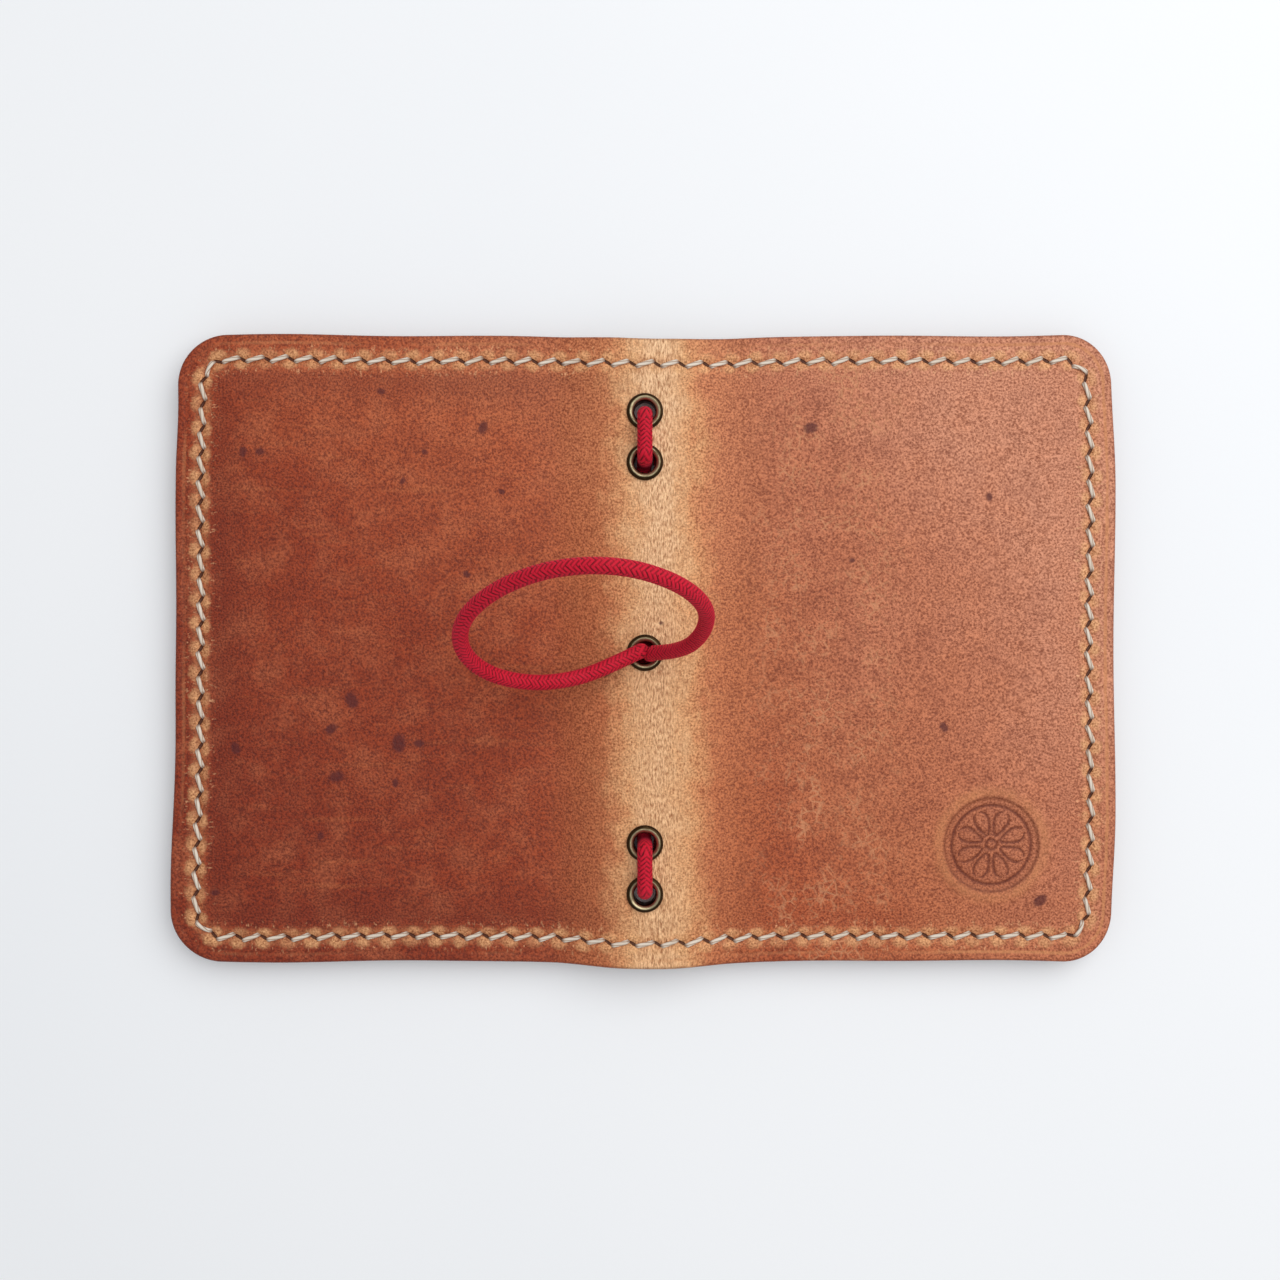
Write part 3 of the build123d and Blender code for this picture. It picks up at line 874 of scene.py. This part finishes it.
    # the grain's own light and dark
    fleck = strokes * core + grain * (1 - core)
    tint = shader.mix(fleck.rise(0.24, 0.76), (0.5, 0.35, 0.26), (1.53, 1.78, 1.98))
    colour = shader.mix(1.0, colour, tint, "MULTIPLY")

    # the edge: a pressed line, then the burnished rim
    line = (abs(edge - 1.45) + (ragged - 0.5) * 0.6).fade(0.08, 0.4)
    worn = (cloud.rise(0.42, 0.62) * 0.5 + x.rise(30.0, 70.0)).least(1.0)
    colour = shader.mix(line * worn * 0.6, colour, srgb(212, 142, 92))
    colour = shader.mix(edge.fade(0.1, 0.6) * 0.45, colour, srgb(112, 44, 24))
    colour = shader.mix(edge.fade(-0.2, 0.12) * 0.85, colour, srgb(66, 24, 14))

    # the slits themselves, painted dark as the shade down in their holes, the stamp and the scars
    slit_along = along * slit_lean[0] - off * slit_lean[1]
    slit_across = along * slit_lean[1] + off * slit_lean[0]
    slit = (slit_along * slit_along * 1.5 + slit_across * slit_across * 19.0).fade(0.5, 1.4)
    colour = shader.mix(slit * 0.92, colour, srgb(66, 25, 13))
    colour = shader.mix(halo_of_stamp * (ragged - 0.1) * 0.75, colour, srgb(212, 142, 90))
    colour = shader.mix(stamp * 0.85, colour, srgb(98, 36, 18))
    colour = shader.mix(scar.rise(0.15, 0.65) * 0.8, colour, srgb(84, 26, 26))
    crackle = shader.node(
        "ShaderNodeTexVoronoi", {"feature": "DISTANCE_TO_EDGE"},
        {"Vector": place, "Scale": 0.62, "Randomness": 1.0},
    )
    dry = abs(x - 29.0).fade(5.0, 16.0) * (patches * 0.6 + ragged * 0.4).rise(0.45, 0.62)
    cracked = crackle.fade(0.0, 0.13) * dry
    colour = shader.mix(cracked * 0.62, colour, srgb(212, 148, 106))

    height = grain * (1 - core * 0.6) + strokes * (0.4 + band * 2.0)
    height = height - cracked * 0.3 - slit * 2.2
    shader.feed(
        Base_Color=colour,
        Roughness=0.52 + (grain - 0.5) * 0.4 + band * 0.05,
        Normal=shader.bump(height, 0.00016, 1.0),
    )
    return shader


outer_hide = pull_up_hide("pull_up_leather")
for name, side, grid_across, grid_up in (
    ("front", 1, mark_across, mark_up), ("back", -1, fine_across, fine_up),
):
    hide = flat_sheet(f"{name}_outer_leather", side, grid_across, grid_up, hide_top, hide_bottom)
    held = np.zeros(len(hide.data.vertices) * 3, np.float32)
    hide.data.attributes["place"].data.foreach_get("vector", held)
    held_x, held_y = held[0::3].astype(float), held[1::3].astype(float)
    from_mark = np.hypot(held_x - mark_place[0], held_y - mark_place[1])
    stamp_halo = np.exp(-(((from_mark - mark_size - 0.9) / 1.0) ** 2))
    marks = [scar_share(held_x, held_y), stamp_share(held_x, held_y), stamp_halo]
    remember(hide, "marks", np.stack(marks, axis=1))
    bends_at_fold(hide)
    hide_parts(f"{name}_cover_leather", "spine_leather")
    put_on(hide, outer_hide)

# ---------------------------------------------------------------------------------------------
# Lining and card pockets: thinner hide behind the outer leather, and two pocket panels on each
# side, sewn in at three edges and open towards the spine, with a thumb notch in the mouth.
panel_depth = 0.88
wide_pan, narrow_pan = 0.6, 1.2
seam_allowance = 6.0
notch_radius, notch_depth = 11.0, 5.0


def thumb_notch(y):
    """How far the mouth is cut back at y: an arc that runs out into the straight edge."""
    chord = np.clip(notch_radius**2 - y**2, 0, None) ** 0.5
    return np.maximum(chord - (notch_radius - notch_depth), 0)


def seam_dip(x, y):
    """The pull of the stitches on an inner face."""
    run, off = along_seam(x, y)
    along = round_hole(np.where(x < 0, -1, 1), run, off)[2]
    return 0.1 * np.exp(-((off / 0.8) ** 2)) * (0.5 + 0.5 * np.exp(-((along / 0.9) ** 2)))


def pan_depth(x, y, drop):
    """How far a pocket panel stands off inside its seam."""
    return drop * smooth_step(seam_margin + 0.9, seam_allowance + 2.2, from_edge(x, y))


def inner_hide(name, dark, light):
    """The hide's flesh side or a waxed pocket face: short nap, soft mottling, sealed edges."""
    shader = Shader(name, Specular_IOR_Level=0.35)
    place = shader.attribute("place")
    edge, off = shader.attribute("seam", "Z"), shader.attribute("seam", "Y")
    nap = shader.noise(place, 2.3, detail=5.0, roughness=0.65)
    clouds = shader.noise(place, 0.12, detail=4.0)
    colour = shader.mix(clouds.rise(0.3, 0.7), dark, light)
    colour = shader.mix(nap.fade(0.3, 0.55) * 0.4, colour, tuple(channel * 0.5 for channel in dark))
    colour = shader.mix(abs(off).fade(0.3, 1.6) * 0.4, colour, srgb(190, 122, 82))
    colour = shader.mix(edge.fade(-0.1, 0.3) * 0.85, colour, srgb(80, 34, 22))
    shader.feed(
        Base_Color=colour, Roughness=0.62 + (nap - 0.5) * 0.3, Normal=shader.bump(nap, 0.0001, 0.7)
    )
    return shader


lining_hide = inner_hide("lining_leather", srgb(128, 70, 44), srgb(160, 96, 64))
pocket_hide = inner_hide("pocket_leather", srgb(120, 56, 34), srgb(156, 82, 54))
coarse_across = ticks(0.0, 0.35, 3.5, 1.0, half_length - corner_radius, 0.5, half_length - 0.2)
coarse_up = ticks(0.2 - half_height, 0.5, -coarse_side, 0.4, coarse_side, 0.5, half_height - 0.2)

for name, side in (("front", 1), ("back", -1)):
    lining = flat_sheet(
        f"{name}_lining_sheet", side, coarse_across, coarse_up,
        lambda x, y: arch(x), lambda x, y: arch(x) + lining_depth, upward=-1, edge_round=0.15,
    )
    bends_at_fold(lining)
    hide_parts(f"{name}_lining", "spine_lining")
    put_on(lining, lining_hide)

    for size, drop in (("wide", wide_pan), ("narrow", narrow_pan)):
        low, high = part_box(f"front_{size}_pocket")
        mouth, seam_top = low.x / MM, high.z / MM
        panel_across = ticks(mouth, 0.8, half_length - corner_radius, 0.5, half_length - 0.3)
        panel_up = ticks(
            0.3 - half_height, 0.5, -coarse_side, 0.8, -13.0, 0.4, 13.0, 0.8, coarse_side, 0.5,
            half_height - 0.3,
        )

        def under(x, y, drop=drop, seam_top=seam_top):
            return seam_top - panel_depth - pan_depth(x, y, drop) + seam_dip(x, y)

        def over(x, y, drop=drop, seam_top=seam_top):
            return seam_top - 0.02 - pan_depth(x, y, drop)

        panel = flat_sheet(
            f"{name}_{size}_pocket_panel", side, panel_across, panel_up, under, over,
            upward=-1, edge_round=0.3, notch=thumb_notch,
        )
        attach(panel, f"{name}_cover")
        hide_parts(f"{name}_{size}_pocket")
        put_on(panel, pocket_hide)

# ---------------------------------------------------------------------------------------------
# Saddle stitching: waxed linen thread, three plies, one stitch to each hole, drawn down tight.
# Every stitch leans the same way round the holder.
thread_half_width, thread_half_depth = 0.36, 0.26
thread_lean = 0.5  # how far a stitch drifts outwards between its middle and its end
stitch_reach = 0.36  # from its middle to its end, as a share of the pitch
dive = 0.8  # how deep its ends go into the holes
thread_points, thread_around = 17, 18  # along each stitch and round it
ply_pitch = 2.2  # along the thread, from one ply's crown to the next
panel_step = 0.9  # how much lower each pocket panel puts the inner face


def seam_spot(run, off):
    """The place at a run along the stitch line, and a distance outside it, on the front half."""
    back = run > seam_run / 2
    run = min(run, seam_run - run)
    side_x, end_y = seam_x - seam_corner, seam_y - seam_corner
    if run < seam_end_run:
        x, y = run, seam_y + off
    elif run < seam_end_run + seam_bend:
        turn = (run - seam_end_run) / seam_corner
        x = side_x + (seam_corner + off) * math.sin(turn)
        y = end_y + (seam_corner + off) * math.cos(turn)
    else:
        x, y = seam_x + off, end_y - (run - seam_end_run - seam_bend)
    return x, -y if back else y


def inner_face(x, y):
    """Height of the lowest panel's face under the seam."""
    mouths = [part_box(f"front_{size}_pocket")[0].x / MM for size in ("wide", "narrow")]
    return arch(x) - sum(abs(x) > mouth for mouth in mouths) * panel_step


def stitch_mesh(place, face, chance):
    """One stitch on the outer (face = 1) or inner face, as a twisted three-ply tube in millimetres."""
    side = 1 if place >= 0 else -1
    lean = thread_lean * (1 + chance.uniform(-0.22, 0.22)) * face
    slack, stretch = chance.uniform(-0.06, 0.06), chance.uniform(0.95, 1.05)
    points = []
    for share in np.linspace(-1, 1, thread_points):
        run = (abs(place) + side * share * stitch_reach * stretch) * stitch_pitch
        x, y = seam_spot(min(max(run, 0.0), seam_run), lean * share + slack)
        if not 0 < run < seam_run:
            x = -abs(min(run, seam_run - run))
        x *= side
        tucked = max(0.0, (abs(share) - 0.72) / 0.28)
        up = thread_half_depth * 0.62 - dive * tucked**1.8
        if face > 0:
            z = float(arch(x)) + shell_depth - 0.34 + up
        else:
            z = float(inner_face(x, y)) + 0.02 - up
        points.append([*(float(value) for value in as_it_lies(np.array(x), np.array(y))), z])
    line = np.array(points) * MM
    ahead = unit(line[-1] - line[0])
    return tube_mesh(line, thread_around, three_ply, sideways=np.cross(ahead, (0.0, 0.0, 1.0)))


def joined(name, parts):
    """One piece from several (vertices, faces) pairs."""
    vertices, faces, count = [], [], 0
    for some_vertices, some_faces in parts:
        vertices.append(np.asarray(some_vertices))
        faces += [tuple(index + count for index in face) for face in some_faces]
        count += len(some_vertices)
    return new_piece(name, np.concatenate(vertices), faces)


def ply_crown(run, angle):
    return np.abs(np.cos((3 * angle - run / MM * 2 * math.pi / ply_pitch) / 2)) ** 0.7


def three_ply(run, angle):
    across, deep = np.sin(angle) / thread_half_width, np.cos(angle) / thread_half_depth
    return MM / np.hypot(across, deep) * (0.86 + 0.14 * ply_crown(run, angle))


def linen_thread(name):
    """Off-white waxed linen: long fibres in the plies, painted shade between them and where each stitch goes
    down into its hole, and a little grime.
    """
    shader = Shader(name, Specular_IOR_Level=0.4, Sheen_Weight=0.15)
    place = shader.node("ShaderNodeTexCoord", output="Object")
    fibres = shader.noise(place, 4200.0, detail=3.0)
    grime = shader.noise(place, 300.0, detail=3.0)
    crown, tucked = shader.attribute("ply", "X"), shader.attribute("ply", "Y")
    # painted shade: darker between the plies' crowns
    colour = shader.mix(crown.rise(0.2, 0.8), srgb(160, 130, 106), srgb(226, 214, 198))
    colour = shader.mix(grime.rise(0.45, 0.75) * 0.4, colour, srgb(188, 160, 132))
    # painted shade where the stitch's ends go down into the holes
    colour = shader.mix(tucked.rise(0.6, 0.95) * 0.75, colour, srgb(104, 62, 44))
    shader.feed(Base_Color=colour, Roughness=0.55 + fibres * 0.15, Normal=shader.bump(fibres, 0.00004, 0.6))
    return shader


linen = linen_thread("waxed_linen_thread")
seam_groups = {
    "front_seam_stitches": ("front_seam_thread", 1, range(1, stitches_per_side)),
    "back_seam_stitches": ("back_seam_thread", -1, range(1, stitches_per_side)),
    "spine_seam_stitches": ("spine_seam_thread", 0, (0, stitches_per_side)),
}
for name, (node, side, places) in seam_groups.items():
    chance = np.random.default_rng(7 + side)
    parts = [
        stitch_mesh(place * (side or 1), face, chance) for place in places for face in (1, -1)
    ]
    stitches = joined(name, parts)
    reach = stitch_reach * stitch_pitch * MM
    run = np.linspace(0, 2 * reach, thread_points)
    angle = np.arange(thread_around) * 2 * math.pi / thread_around
    crown = ply_crown(run[:, None], angle[None, :])
    tucked = np.abs(run / reach - 1)[:, None] + 0 * crown
    one = np.stack([crown.ravel(), tucked.ravel(), tucked.ravel()], axis=1)
    remember(stitches, "ply", np.tile(one, (len(parts), 1)))
    if side:
        bends_at_fold(stitches)
    else:
        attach(stitches, "spine")
    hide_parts(node)
    put_on(stitches, linen)

# ---------------------------------------------------------------------------------------------
# Eyelets, washers and crimp: antiqued brass, dark on steep faces (patina in the bores, painted shade on the
# rims' outer sides), with a painted highlight on the rims.
# Each eyelet is pushed through the leather and curled over a washer inside. The crimp is a sleeve
# pressed round the elastic's two ends.


def antique_brass(name):
    """Darkened brass. Its painted highlight rings follow the distance from the nearest eyelet's middle."""
    shader = Shader(name, Metallic=1.0)
    place = shader.node("ShaderNodeTexCoord", output="Object")
    tarnish = shader.noise(place, 900.0, detail=5.0, roughness=0.6)
    pits = shader.noise(place, 3800.0, detail=2.0)
    facing = shader.node("ShaderNodeTexCoord", output="Normal")
    upward = shader.node("ShaderNodeSeparateXYZ", inputs={0: facing}, output="Z")
    # painted highlight: a bright ring on the rims just outside the bore, and on faces that look straight
    # down; darker beyond it
    across = shader.node("ShaderNodeSeparateXYZ", inputs={0: place}, output="X") / MM
    along = shader.node("ShaderNodeSeparateXYZ", inputs={0: place}, output="Y") / MM
    nearest = None
    for row in eyelet_rows:
        square = (along - row) * (along - row)
        nearest = square if nearest is None else nearest.least(square)
    away = across * across + nearest + (tarnish - 0.5) * 0.7
    ring = away.rise(1.75**2, 1.9**2) * away.fade(2.2**2, 2.5**2) * upward.rise(0.3, 0.6)
    wear_and_highlight = ring + (0 - upward).rise(0.84, 0.99) * 0.6
    # partly painted shade: steep faces darker, patina in the bores and shade on the rims' outer sides
    colour = shader.mix(abs(upward).rise(0.1, 0.6), srgb(26, 19, 12), srgb(58, 43, 27))
    colour = shader.mix(wear_and_highlight, colour, srgb(184, 171, 136))
    colour = shader.mix(tarnish.rise(0.5, 0.7) * 0.35, colour, srgb(96, 76, 48))
    shader.feed(
        Base_Color=colour, Roughness=0.34 + tarnish.rise(0.4, 0.7) * 0.2,
        Normal=shader.bump(pits, 0.00003, 0.4),
    )
    return shader


brass = antique_brass("antiqued_brass")
for node, cad_object in frame["nodes"].items():
    if node.startswith("eyelet") or node == "elastic_crimp":
        put_on(cad_object, brass)

# ---------------------------------------------------------------------------------------------
# Floor and light: white card, a broad soft light high up on the far right, and an even sky that
# fills the shadows.
floor_reach, floor_height = 5.0, -0.0001
corners = ((-1, -1), (1, -1), (1, 1), (-1, 1))
floor_corners = [(x * floor_reach, y * floor_reach, floor_height) for x, y in corners]
floor = new_piece("floor", floor_corners, [(0, 1, 2, 3)])
card = Shader("white_card", Roughness=0.7, Specular_IOR_Level=0.2)
card_place = card.node("ShaderNodeTexCoord", output="Object")
card_tooth = card.noise(card_place, 900.0, detail=3.0)
card.feed(
    Base_Color=card.mix(card.noise(card_place, 6.0).rise(0.3, 0.7), (0.91, 0.93, 0.955), (0.935, 0.95, 0.97)),
    Normal=card.bump(card_tooth, 0.00003, 0.3),
)
put_on(floor, card)

world = bpy.data.worlds.new("sky")
world.use_nodes = True
sky = world.node_tree.nodes["Background"].inputs
sky["Color"].default_value = (0.96, 0.975, 1.0, 1)
sky["Strength"].default_value = 0.5
scene.world = world

window_place = (0.3, 0.24, 0.62)
window = bpy.data.lights.new("window", "AREA")
window.shape, window.size = "DISK", 0.95
window.energy, window.color = 4.25, (1.0, 0.99, 0.975)
window_holder = bpy.data.objects.new("window", window)
scene.collection.objects.link(window_holder)
window_holder.location = window_place
window_holder.rotation_euler = (-Vector(window_place)).to_track_quat("-Z", "Y").to_euler()
scene.view_settings.view_transform = "Standard"
